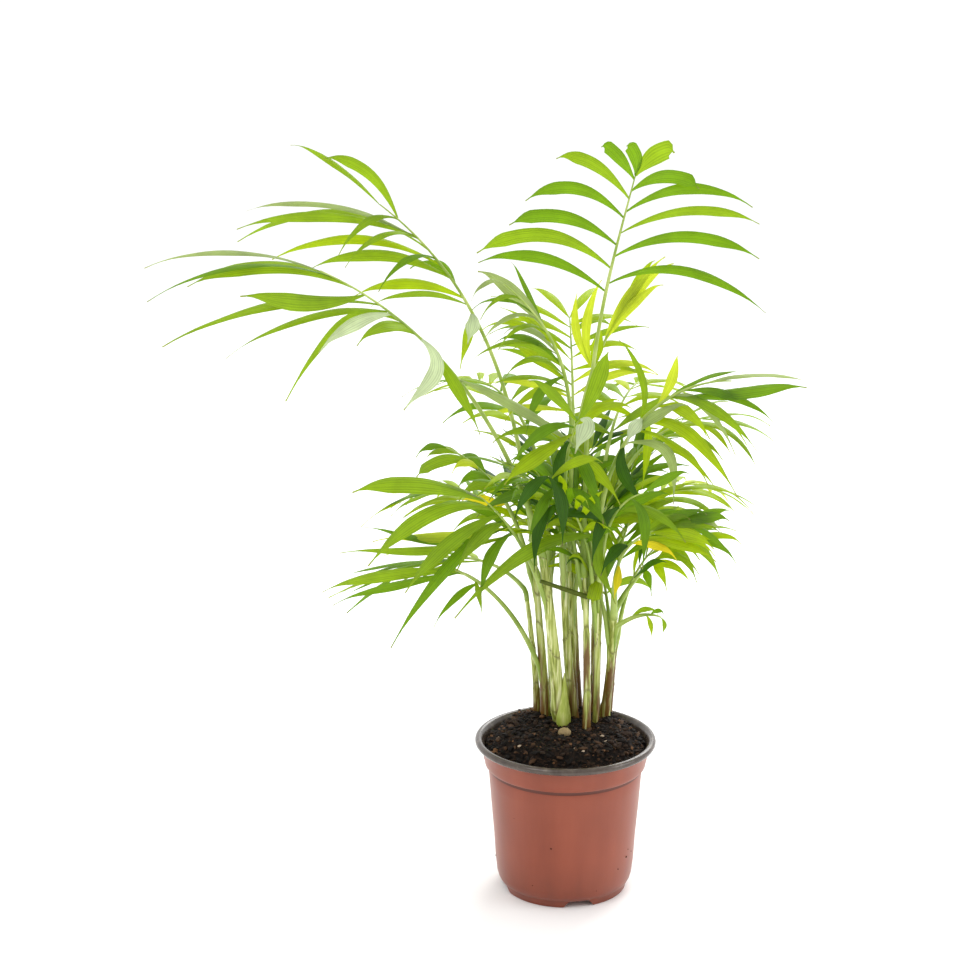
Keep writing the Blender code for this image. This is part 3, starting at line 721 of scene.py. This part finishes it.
# The leaflets of the fronds in front lie as they do on the real plant
# Their tones carry painted light, painted shade and painted sheen as well as the leaves' own greens
PLACED = {
    "left_near": (
        (1.0, -98, -50, 13, 9, 5, 30, "painted_grey_sheen"), (0.9, -94, -45, 11, 11, 9, 55, "fresh", 0, 0.7),
        (0.95, -106, -58, -1, 13, 5.5, 20, "painted_part_shade"), (0.86, -71, -40, 9, -6, 11, 65, "fresh", 0, 0.6),
        (0.81, -127, -50, -14, 11, 7.5, 35), (0.78, -97, -35, -20, 9, 8, 35, "fresh", 0, 0.3),
        (0.72, -78, 15, -50, 25, 7.5, 60), (0.77, -43, -25, -17, 5, 10, 50, "painted_white_sheen"),
        (0.68, -35, -30, 2, 8, 10, 45), (0.67, -9, -20, -39, 0, 10, 80, "painted_white_sheen", 15, 0.6),
        (0.52, 80, -20, -40, 3, 8, 45, "painted_grey_sheen"), (0.62, 30, -12, -48, 2, 8, 60)),
    "left_far": (
        (0.94, -48, 0, 42, 10, 7.5, 60, "fresh", 4, 0.7), (1.0, -58, 8, 40, 5, 5, 35),
        (0.83, -126, 10, 6, 21, 6, 35, "fresh", 0, 0.7),
        (0.87, -111, -5, 21, 11, 5.5, 30, "painted_grey_sheen", 0, 0.7),
        (0.88, -114, -15, 9, 9, 8, 45, "fresh", 0, 0.6),
        (0.78, -109, -10, 8, 14, 7.5, 45, "sunlit", 0, 0.6),
        (0.74, -91, -10, 10, 11, 9, 50, "fresh", 0, 0.6),
        (0.68, -71, -15, 6, 8, 8.5, 50, "sunlit", 0, 0.6), (0.66, -62, -20, 5, 7, 6, 40),
        (0.8, -36, -25, -14, 9, 5.5, 40, "painted_part_shade"), (0.87, -45, -30, -11, 10, 5, 40),
        (0.94, -37, -20, -17, 9, 6, 45), (0.72, -30, 8, 12, 6, 8, 50, "painted_part_shade", 4),
        (0.64, -7, -15, -32, 0, 8, 85, "sunlit", 1, 0.3),
        (0.64, -2, -17, -15, 0, 10, 85, "painted_white_sheen", 2, 0.5)),
    "crown_right": (
        (0.7, -81, -10, 23, 11, 7.5, 80, "painted_part_shade", 0, 0.6),
        (0.76, -85, -10, 14, 15, 9, 80, "fresh", 0, 0.8),
        (0.82, -68, -10, 17, 10, 8.5, 80, "painted_part_shade", 0, 0.8),
        (0.89, -62, -10, 15, 12, 8, 80, "painted_part_shade", 0, 0.7), (0.94, -46, -8, 29, 8, 8, 80, "fresh", 0, 0.7),
        (0.99, -21, -6, 24, 3, 8, 85, "painted_part_shade", 0, 0.8), (1.0, -6, -5, 22, 1, 8.5, 85, "painted_part_shade", 3, 0.8),
        (1.0, 24, -5, 18, 4, 12, 85, "fresh", 0, 0.85), (0.96, 42, -10, 6, 7, 8.5, 80, "painted_part_shade", 0, 0.85),
        (0.905, 79, -10, 8, 12, 7.5, 80, "painted_part_shade"), (0.85, 87, -10, 11, 10, 6, 70, "fresh", 0, 0.7),
        (0.79, 91, -10, 4, 12, 7.5, 75, "painted_part_shade", 0, 0.7),
        (0.72, 100, -10, -13, 16, 6.5, 70, "painted_part_shade", 0, 0.6)),
    "crown_young": (
        (0.74, -11, 0, 54, 0, 6, 85, "young", -6), (0.74, 5, 0, 63, 0, 6.5, 85, "young", -7),
        (0.86, 39, 0, 60, 0, 7.5, 80, "young", -4), (0.91, 41, 0, 48, 3, 7.5, 80, "young", -3),
        (0.86, 38, -4, 42, 5, 6.5, 75, "young"), (0.74, 5, -8, 31, 0, 8.5, 85, "sunlit"),
        (0.95, 17, 2, 30, 0, 8, 80, "young"), (1.0, 22, 4, 36, 2, 6, 80, "sunlit")),
    "crown_left": (
        (0.8, -42, -8, 41, 3, 9, 60, "painted_grey_sheen", 2, 0.6), (0.8, -22, 4, 45, 0, 3.5, 40, "painted_part_shade"),
        (0.86, -39, -10, 8, 7, 4, 30, "painted_part_shade"), (0.84, -35, -12, -9, 8, 4, 40, "painted_grey_sheen"),
        (0.92, -26, -14, -6, 7, 4, 45), (1.0, -20, -10, -6, 5, 4, 40, "painted_grey_sheen"),
        (0.78, -31, -20, -3, 9, 4, 40), (0.7, -34, -12, 19, 8, 5.5, 45, "painted_grey_sheen"),
        (0.66, -42, -14, 20, 9, 5.5, 45, "painted_part_shade"), (0.62, -38, -16, 5, 11, 5, 45),
        (0.7, -57, -10, -2, 11, 4.5, 35), (0.58, -50, -10, 4, 6, 4.5, 35),
        (0.74, -46, 8, 10, 8, 4.5, 45, "sunlit"), (0.6, -34, 10, 22, 5, 6, 60, "sunlit", -4),
        (0.62, -24, -22, -30, 6, 6.5, 60, "painted_part_shade", -4), (0.56, -40, -8, -14, 9, 6, 50, "sunlit")),
    "right_high": (
        (0.76, 84, -15, 13, -2, 9.5, 40, "painted_part_shade", 0, 0.65), (0.88, 72, 5, 2, 5, 5.5, 20, "painted_grey_sheen"),
        (0.72, 53, 8, 20, 5, 5, 20, "painted_part_shade"), (0.81, 57, -15, -14, 6, 7.5, 45, "painted_part_shade"),
        (0.75, 55, -18, -27, 9, 8, 50), (0.76, 41, -10, -33, 12, 6, 50, "painted_grey_sheen"),
        (0.69, 33, -20, -13, 7, 9, 50, "sunlit"), (0.59, 63, -25, -38, 17, 9.5, 55, "sunlit"),
        (0.56, 57, -15, -38, 10, 5, 45, "sunlit"), (0.5, 31, -20, -32, 12, 7.5, 60, "painted_grey_sheen", 12),
        (0.69, 13, 10, 34, 0, 7, 70, "young", 3), (0.64, -2, 8, -48, 2, 6, 80, "sunlit", 2),
        (0.59, -13, 10, 56, 0, 5, 60, "fresh", 9), (0.52, 38, -12, 28, 4, 9, 40, "painted_grey_sheen"),
        (0.62, -11, -25, -8, 2, 9, 70, "painted_white_sheen"), (0.5, 12, -18, -35, 0, 8.5, 70, "shade", -7)),
    "left_low": (
        (0.92, -81, -30, 16, 6, 11, 55, "fresh", 0, 0.7), (0.94, -42, -8, 12, 3, 4.5, 30, "painted_grey_sheen"),
        (0.8, -78, -35, -24, 15, 10.5, 50, "fresh", 0, 0.65),
        (0.74, -58, -35, -38, 7, 9.5, 60, "fresh", 0, 0.65),
        (0.69, -70, -35, -72, 9, 8.5, 70, "painted_part_shade", 0, 0.45), (0.61, -88, 5, -9, -3, 8, 45, "young"),
        (0.62, -94, 5, 0, -11, 6.5, 40, "painted_part_shade"), (0.54, -112, 0, -11, -6, 7, 40),
        (0.66, -30, -25, -22, 6, 10, 60), (0.56, -20, -12, -38, 4, 8, 60, "painted_part_shade", -4),
        (0.5, -46, 4, 22, 8, 7, 45, "painted_part_shade")),
    "left_foot": (
        (0.98, -86, -10, -9, 3, 8.5, 50, "fresh", 0, 0.6), (0.94, -80, -25, -12, 1, 7, 40, "painted_part_shade"),
        (0.73, -29, -15, -23, 4, 5.5, 60, "painted_part_shade", 0, 0.4), (0.78, 5, -6, -20, 2, 4, 60),
        (0.86, -30, -8, 2, 4, 7, 45)),
    "left_mid": (
        (0.82, -35, -10, -5, 5, 9, 50, "fresh", 0, 0.85), (0.74, -18, -10, 3, 5, 6.5, 45, "young"),
        (0.61, -23, -12, 4, 6, 8.5, 50, "painted_part_shade"), (0.46, -29, -10, 8, 0, 7.5, 70, "yellowing"),
        (0.48, -30, -15, 7, 11, 9, 50), (1.0, -20, 0, -4, 3, 6, 40, "painted_part_shade"),
        (0.9, -24, 10, -4, 4, 6.5, 45), (0.68, -20, 24, 8, 6, 7.5, 45, "painted_part_shade")),
    "front_left": (
        (0.78, -17, -18, -28, 4, 7.5, 65, "painted_part_shade"), (0.64, -54, 30, -19, 8, 9, 55, "painted_part_shade"),
        (0.85, -28, -6, 18, 5, 8, 55, "painted_part_shade"), (0.98, -22, -14, -22, 6, 8, 55, "shade"),
        (1.0, 9, -22, -36, 4, 8.5, 65, "shade", 4), (0.71, 34, -15, -22, 9, 8, 60, "painted_part_shade"),
        (0.93, 32, -10, 16, 5, 7.5, 50, "sunlit"), (0.58, -16, -18, -38, 6, 8, 65, "shade", -5)),
    "front_right": (
        (0.38, -96, -30, -43, 17, 10, 55, "fresh", 0, 0.5), (0.42, 6, -15, -40, 2, 8, 75, "fresh", -8),
        (0.02, -4, -9, -11, 1, 9, 60, "sunlit", 0, 0.9), (0.57, 36, -12, 22, 4, 7, 55, "painted_part_shade"),
        (0.64, 44, -15, -12, 9, 7.5, 50), (1.0, 28, -8, 18, 2, 6.5, 60, "painted_part_shade"),
        (0.85, 8, -18, -38, 6, 7.5, 70, "painted_part_shade", 5), (0.71, -18, -20, -30, 6, 8, 70, "shade", -3),
        (0.5, -40, -16, 8, 7, 7.5, 55, "shade")),
    "front_high": (
        (1.0, -3, -14, -15, 5, 11.5, 70, "painted_white_sheen", 5, 0.6),
        (0.8, -42, -25, -24, 0, 10, 65, "sunlit", -1, 0.6), (0.62, 33, -22, -24, 5, 9, 65, "sunlit"),
        (0.87, -40, -15, -20, 9, 7.5, 60, "painted_part_shade"), (0.68, 22, -20, -42, 7, 8.5, 70, "painted_part_shade"),
        (0.94, -30, -4, 30, 3, 7, 65), (0.74, -5, -18, -44, 5, 7.5, 75, "shade", -5),
        (0.96, 18, 5, 46, 0, 10, 75, "fresh", 2, 0.65), (0.66, -48, -6, 8, 9, 7, 50),
        (0.87, 36, -6, 16, 6, 6.5, 50, "sunlit"), (0.76, 30, 4, 26, 4, 6.5, 60, "sunlit")),
    "right_low": (
        (1.0, 33, -5, 12, 1, 7, 45, "painted_part_shade"), (0.92, 38, -8, 9, 2, 8, 50, "painted_part_shade", 0, 0.7),
        (0.92, 45, -15, -21, 9, 5, 45, "painted_part_shade"), (0.77, 41, -15, -3, 4, 10, 60, "sunlit", 0, 0.6),
        (0.69, 49, -12, -9, 3, 8, 55, "sunlit"), (0.61, 29, -14, -4, 4, 7, 60, "yellowing"),
        (0.84, 31, -4, 14, 4, 7, 45, "painted_part_shade"), (0.69, 32, -8, 18, 4, 8, 50),
        (1.0, 27, -10, -1, 5, 6, 45, "painted_grey_sheen"), (0.58, -18, -10, -14, 5, 8, 60, "shade"),
        (0.4, -3, -8, -20, 0, 5.5, 80, "yellowing", 1), (0.78, 44, -8, 6, 5, 7.5, 50, "fresh", 0, 0.7)),
    "right_low_rear": (
        (0.9, 25, -5, -19, 8, 7, 55), (0.71, 20, -10, -15, 7, 7, 60),
        (0.52, 11, -10, -14, 5, 6.5, 65, "sunlit"), (0.42, 6, -8, -12, 4, 6, 65, "painted_part_shade"),
        (1.0, 30, -5, -9, 6, 6, 45, "painted_part_shade"), (1.0, 20, 6, -3, 4, 6, 45),
        (0.61, 27, 8, 11, 4, 6.5, 50, "sunlit"), (0.8, 12, 24, 4, 5, 6.5, 45),
        (0.95, 36, -10, 6, 5, 6, 45, "sunlit"), (0.55, 30, -12, -2, 7, 6, 50)),
    "right_foot": (
        (0.3, 18, -8, 8, 4, 3.8, 60), (1.0, 1, -5, -9, 0, 3, 70, "fresh", 2),
        (0.65, 4, -6, -13, 1, 3.4, 75, "sunlit", 1), (0.75, 9, -4, 3, 2, 3.4, 60, "painted_part_shade")),
}


def is_one_sheet(frond):
    return frond.stalk * frond.length < SHORT_STALK


def frond_foot(frond):
    """Where a frond's stalk starts: on top of its stem, or against the stem's side."""
    stem = find_stem(frond.stem)
    half = 0.5 if is_one_sheet(frond) else STALK_RADII[0]
    if frond.height >= stem.top[2]:
        tilt = half * math.cos(math.radians(frond.rise[0]))
        return np.array(stem.top, float) + np.array([0.0, 0.0, 0.5 + tilt])
    return beside_stem(stem, frond.height, frond.heading[0], half + 0.3)


def frond_rib(frond):
    """Points of the rib from foot to tip, and the direction at each."""
    along = (np.arange(RIB_STEPS) + 0.5) / RIB_STEPS
    heading = np.radians(between(frond.heading, along ** 1.3))
    rise = np.radians(between(frond.rise, along ** frond.bend))
    step = np.stack([np.cos(rise) * np.cos(heading), np.cos(rise) * np.sin(heading),
                     np.sin(rise)], axis=1)
    points = np.vstack([np.zeros(3), np.cumsum(step, axis=0) * frond.length / RIB_STEPS])
    points = points + frond_foot(frond)
    direction = np.gradient(points, axis=0)
    return points, direction / np.linalg.norm(direction, axis=1)[:, None]


def leaflet_path(facing, start, direction, hand, spread, length, lift, droop):
    """The line of a leaflet on the frond's right (hand 1) or left, and which way is above."""
    turn = math.radians(facing)
    side = np.array([math.sin(turn), -math.cos(turn), 0.0])
    side = side - direction * side.dot(direction)
    side = side / np.linalg.norm(side)
    above = np.cross(side, direction)
    turn = math.radians(spread)
    raised = math.radians(lift)
    aim = (direction * math.cos(turn) + side * hand * math.sin(turn) * math.cos(raised)
           + above * math.sin(turn) * math.sin(raised))
    path = [np.array(start, float)]
    for i in range(LEAFLET_STEPS):
        along = (i + 0.5) / LEAFLET_STEPS
        pull = np.array([0.0, 0.0, -1.0]) * droop * 1.2 * along ** 1.5
        step = (aim + pull) / np.linalg.norm(aim + pull)
        path.append(path[-1] + step * length / LEAFLET_STEPS)
    return path, above


def placed_path(start, leaflet):
    """A bowed line to the leaflet's tip, which hangs a little at its very end."""
    reach = np.array([leaflet.x, leaflet.y, leaflet.z], float)
    bow = np.array([leaflet.sway, 0.0, leaflet.bow])
    path = []
    for i in range(LEAFLET_STEPS + 1):
        along = i / LEAFLET_STEPS
        path.append(start + reach * along + bow * math.sin(math.pi * along ** 0.9)
                    - [0.0, 0.0, TIP_HANG * max(0.0, along - 0.8) ** 2 / 0.04])
    path[0] = start
    return path


def leaflet_width(share, hold):
    """Width along a leaflet as a share of its full width: a narrow foot and a thread tip."""
    swell = 0.14 + 0.86 * math.sin(0.5 * math.pi * min(share / 0.55, 1.0)) ** 1.25
    taper = 1.0 - min(1.0, max(0.0, (share - hold) / (0.95 - hold))) ** 1.4
    return max(swell * taper, 0.09)


def add_leaflet(leaves, path, above, width, hold, roll, fold, ripple, kind):
    """Adds a leaflet's points and faces: rows of points across a ridged, rippled blade."""
    first = len(leaves["verts"])
    count = len(path)
    path = np.array(path)
    forward = np.gradient(path, axis=0)
    for i in range(count):
        share = i / (count - 1)
        aim = forward[i] / np.linalg.norm(forward[i])
        normal = above - aim * above.dot(aim)
        normal = normal / np.linalg.norm(normal)
        across = np.cross(aim, normal)
        turn = math.radians(roll) * (share - 0.4)
        wide = across * math.cos(turn) + normal * math.sin(turn)
        high = normal * math.cos(turn) - across * math.sin(turn)
        half = 0.5 * width * leaflet_width(share, hold)
        pleat = fold * (1.9 - 1.3 * min(share * 4.0, 1.0))
        for row in LEAF_ROWS:
            drop = -pleat * abs(row) * half + 0.10 * half * math.sin(math.pi * abs(row))
            wave = ripple * 0.35 * row ** 2 * math.sin(share * 13.0 + ripple * 7.0 + row)
            leaves["verts"].append(path[i] + wide * row * half + high * (drop + wave))
            leaves["places"].append(((row + 1.0) / 2.0, share))
    rows = len(LEAF_ROWS)
    for i in range(count - 1):
        for j in range(rows - 1):
            corner = first + i * rows + j
            leaves["faces"].append((corner, corner + 1, corner + rows + 1, corner + rows))
            leaves["kinds"].append(kind)


def rib_at(points, direction, share):
    place = share * RIB_STEPS
    i = min(int(place), RIB_STEPS - 1)
    return between(points[i:i + 2], place - i), between(direction[i:i + 2], place - i)


def grow_leaflets(leaves, frond, look, draws):
    """Deals a frond's leaflets out along its rib, in pairs and with two at the tip."""
    points, direction = frond_rib(frond)
    kinds = [TONE_NAMES.index(tone) for tone in look.tones]
    odds = [3.0] + [1.4] * (len(kinds) - 1)
    stray = look.unrest
    for i in range(look.pairs):
        for hand in (-1.0, 1.0):
            step = (i + 0.18) / max(look.pairs - 0.3, 1.0) + 0.03 * (hand > 0)
            middle, aim = rib_at(points, direction, frond.stalk + (1.0 - frond.stalk) * step * 0.95)
            path, above = leaflet_path(
                look.facing, middle, aim / np.linalg.norm(aim), hand,
                between(look.spread, step) + stray * draws.uniform(-9.0, 9.0),
                between(look.reach, step) * (1.0 + stray * draws.uniform(-0.14, 0.04)),
                look.lift + stray * draws.uniform(-12.0, 12.0),
                look.droop * (1.0 + stray * draws.uniform(-0.35, 0.35)))
            add_leaflet(leaves, path, above, look.width * draws.uniform(0.8, 1.12), LEAFLET_HOLD,
                        stray * draws.uniform(-45.0, 45.0), draws.uniform(0.28, 0.5),
                        draws.uniform(0.4, 1.0), draws.choices(kinds, odds)[0])
    for hand in (-1.0, 1.0):
        path, above = leaflet_path(look.facing, points[-1], direction[-1], hand, END_SPREAD,
                                   look.end, 0.0, look.droop * 0.7)
        add_leaflet(leaves, path, above, look.width * 1.1, LEAFLET_HOLD,
                    stray * draws.uniform(-25.0, 25.0), 0.35, draws.uniform(0.4, 1.0),
                    draws.choices(kinds, odds)[0])


def place_leaflets(leaves, frond, placed, draws):
    points, direction = frond_rib(frond)
    for leaflet in [Leaflet(*row) for row in placed]:
        start, _ = rib_at(points, direction, leaflet.share)
        turn = math.radians(leaflet.face)
        above = np.array([0.0, -math.sin(turn), math.cos(turn)])
        add_leaflet(leaves, placed_path(start, leaflet), above, leaflet.width, leaflet.hold,
                    draws.uniform(-30.0, 30.0), draws.uniform(0.2, 0.4),
                    draws.uniform(0.4, 1.0), TONE_NAMES.index(leaflet.tone))


# Living leaf, waxed by its own cuticle. Light shines through it, so a blade lit from behind
# glows yellower than one that is lit from the front. Veins run the length of it, only seven
# of them, about 1 mm apart, so that they show, and the thread tip is dry.
# The first four tones are one green at four brightnesses, from lit to shaded: light and shade painted
# into the colour
LEAF_TONES = {
    "sunlit": ("#8AA20E", "#AECA06"),
    "fresh": ("#74941A", "#96B60E"),
    "painted_part_shade": ("#5A8010", "#7CA606"),
    "shade": ("#2E5206", "#4A7808"),
    # These two tones hold a painted sheen: the white studio's reflection on glossy leaves, grey-green
    # and near-white
    "painted_grey_sheen": ("#94A46C", "#A4BA58"),
    "painted_white_sheen": ("#C6D2B0", "#BED090"),
    "young": ("#B2C22C", "#D2E030"),
    "yellowing": ("#D8C81E", "#F0DE20"),
}
TONE_NAMES = list(LEAF_TONES)
VEINS = 7.0


def leaf_material(tone, front, through):
    material, tree, place = start_material("leaf_" + tone)
    flat = add_node(tree, "TexCoord", {}).outputs["UV"]
    split = add_node(tree, "SeparateXYZ", {"Vector": flat}).outputs
    turns = reckon(tree, "MULTIPLY", split["X"], VEINS * 2.0 * math.pi)
    veins = reckon(tree, "COSINE", turns)
    side = reckon(tree, "ABSOLUTE", reckon(tree, "SUBTRACT", split["X"], 0.5))
    veined = remap(tree, veins, 0.84, 1.10, low=-1.0)
    shaded = remap(tree, noise_pattern(tree, place, 70.0, 3.0), 0.84, 1.14, 0.25, 0.75)
    value = reckon(tree, "MULTIPLY", veined, shaded)
    value = reckon(tree, "MULTIPLY", value, remap(tree, side, 1.2, 1.0, 0.0, 0.06))
    tip = remap(tree, split["Y"], 0.0, 1.0, 0.955, 0.985)
    green = mix_colours(tree, tip, tinted(tree, front, value), linear("#8A7A4E"))
    wax = add_node(tree, "BsdfPrincipled", {
        "Base Color": green, "Roughness": 0.4, "IOR": 1.45, "Specular IOR Level": 0.35,
        "Normal": bumps(tree, veins, 0.25, 0.0003)})
    flesh = add_node(tree, "BsdfTranslucent", {"Color": tinted(tree, through, value)})
    both = add_node(tree, "MixShader", {"Fac": 0.46, 1: wax.outputs[0], 2: flesh.outputs[0]})
    add_node(tree, "OutputMaterial", {"Surface": both.outputs[0]})
    return material


leaf_finish = {tone: leaf_material(tone, *codes) for tone, codes in LEAF_TONES.items()}


def leaf_object(name, leaves):
    used = sorted(set(leaves["kinds"]))
    item = joined_mesh(name, leaves["verts"], leaves["faces"],
                       [used.index(kind) for kind in leaves["kinds"]],
                       [leaf_finish[TONE_NAMES[kind]] for kind in used])
    places = item.data.uv_layers.new(name="leaf")
    for loop in item.data.loops:
        places.data[loop.index].uv = leaves["places"][loop.vertex_index]
    item.data.shade_smooth()
    return item


# Stalk and rib are the same silky green as young cane, without its fibres
stalk_skin, tree, place = start_material("leaf_stalk")
green = colour_ramp(tree, noise_pattern(tree, place, 60.0),
                    [(0.3, "#7E9A34"), (0.5, "#97AE48"), (0.7, "#B4C46C")])
finish_skin(tree, {"Base Color": green, "Roughness": 0.38})


def grow_rib(frond):
    """The stalk and the rib as one tapering rod that widens into a clasp on its stem."""
    points, _ = frond_rib(frond)
    stem = find_stem(frond.stem)
    thin = 0.8 if is_one_sheet(frond) else 1.0
    if frond.height >= stem.top[2]:
        first, clasp = 1, stem.radius[1]
        stations = [stem_axis(stem, 0.93)[0], stem_axis(stem, 0.99)[0]]
        radii = [clasp, clasp]
    else:
        first, clasp = 0, STALK_RADII[0]
        stations, radii = [], []
        foot = points[0][2]
        out = points[0][:2] - stem_axis(stem, stem_share(stem, foot))[0][:2]
        for drop, share in CLASP:
            inside, girth = stem_axis(stem, stem_share(stem, foot - drop))
            stations.append(inside + [*(out / np.linalg.norm(out) * girth * share), 0.0])
            radii.append(clasp * thin * share)
    stations += list(points[first:])
    for i in range(first, RIB_STEPS + 1):
        share = i / RIB_STEPS
        radius = np.interp(share, (0.0, frond.stalk, 1.0), STALK_RADII) * thin
        run = share * frond.length
        radii.append(radius + max(clasp - radius, 0.0) * math.exp(-(run / CLASP_RUN) ** 1.5))
    return rod(f"frond_{frond.name}_rib", stations, radii, 10)


def no_leaves():
    return {"verts": [], "faces": [], "kinds": [], "places": []}


for number, frond in enumerate(FRONDS):
    rib = grow_rib(frond)
    rib.data.materials.append(stalk_skin)
    leaves = no_leaves()
    draws = random.Random(500 + number)
    if frond.name in PLACED:
        place_leaflets(leaves, frond, PLACED[frond.name], draws)
    else:
        grow_leaflets(leaves, frond, LOOKS[frond.name], draws)
    blade = leaf_object(f"frond_{frond.name}_leaflets", leaves)
    for piece, part in ((rib, "_stalk"), (blade, "_blade")):
        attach(piece, "root")
        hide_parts("frond_" + frond.name + ("" if is_one_sheet(frond) else part))

# The small fronds in the heart of the clump
# Old short fronds crowd round the tops of the stems, in each other's shade. They are grown by
# the same rule, with seeded draws, and head to the sides and the back.
HEART_FRONDS = 18
HEART_STEMS = STEMS[4:]
HEART_SIDE, HEART_TURN = 15.0, 225.0  # the first heading, and how far round they go
GOLDEN_SHARE = 0.381  # of a turn, so that no frond stands right over another
# The heart's leaflets take the lit, middle and shaded tones, with light and shade painted into their
# colour
HEART_TONES = ("painted_part_shade", "sunlit", "fresh", "sunlit", "shade")

draws = random.Random(77)
heart_leaves = no_leaves()
heart_ribs = []
for i in range(HEART_FRONDS):
    stem = HEART_STEMS[i * 5 % len(HEART_STEMS)]
    heading = HEART_SIDE + HEART_TURN * (i * GOLDEN_SHARE % 1.0)
    frond = Frond(f"heart_{i}", stem.name, stem.top[2] - draws.uniform(6.0, 34.0),
                  draws.uniform(60.0, 104.0), 0.5, (heading, heading + draws.uniform(-25.0, 25.0)),
                  (84.0, draws.uniform(15.0, 55.0)), 1.4)
    look = Look(6.5, HEART_TONES, 5, heading, (50.0, 46.0), (50.0, 24.0), 4.0,
                draws.uniform(0.5, 1.2), 48.0, 1.6)
    heart_ribs.append(grow_rib(frond))
    grow_leaflets(heart_leaves, frond, look, draws)
select_only(*heart_ribs)
bpy.ops.object.join()
heart_ribs[0].name = "heart_ribs"
heart_ribs[0].data.materials.append(stalk_skin)
for piece in (heart_ribs[0], leaf_object("heart_leaflets", heart_leaves)):
    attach(piece, "root")

# The floor is plain and pale, and the light soft and even, as in a studio
floor = new_shape("studio_floor", bpy.ops.mesh.primitive_circle_add,
                  vertices=64, radius=14.0, fill_type="NGON")
paper, tree, _ = start_material("studio_paper")
finish_skin(tree, {"Base Color": linear("#FBFBFA"), "Roughness": 0.9, "Specular IOR Level": 0.1})
floor.data.materials.append(paper)

world = bpy.data.worlds.new("studio")
bpy.context.scene.world = world
world.use_nodes = True
tree = world.node_tree
way = add_node(tree, "TexCoord", {}).outputs["Generated"]
depth = add_node(tree, "SeparateXYZ", {"Vector": way}).outputs["Y"]
bright = remap(tree, depth, 0.60, 1.60, low=-1.0)
tree.nodes["Background"].inputs["Color"].default_value = (1.0, 1.0, 1.0, 1.0)
tree.links.new(bright, tree.nodes["Background"].inputs["Strength"])
LAMPS = (("key_softbox", (-0.9, -1.2, 1.5), 0.9, 9.0),
         ("back_softbox", (0.5, 1.3, 1.3), 1.0, 18.0),
         ("side_softbox", (1.4, -0.3, 0.8), 0.8, 6.5))
for name, spot, size, power in LAMPS:
    lamp = bpy.data.lights.new(name, "AREA")
    lamp.size = size
    lamp.energy = power
    lamp_object = new_object(name, lamp)
    lamp_object.location = spot
    aim = Vector((0.0, 0.0, 0.25)) - Vector(spot)
    lamp_object.rotation_euler = aim.to_track_quat("-Z", "Y").to_euler()

# The camera looks down on the plant a little, from 1.5 m away
lens = bpy.data.cameras.new("camera")
lens.lens = 86.07
lens.sensor_width = 36.0
camera = new_object("camera", lens)
camera.location = (0.0, -1.455, 0.678)
camera.rotation_euler = (math.radians(74.48), 0.0, math.radians(1.97))
bpy.context.scene.camera = camera
bpy.context.scene.view_settings.view_transform = "Standard"
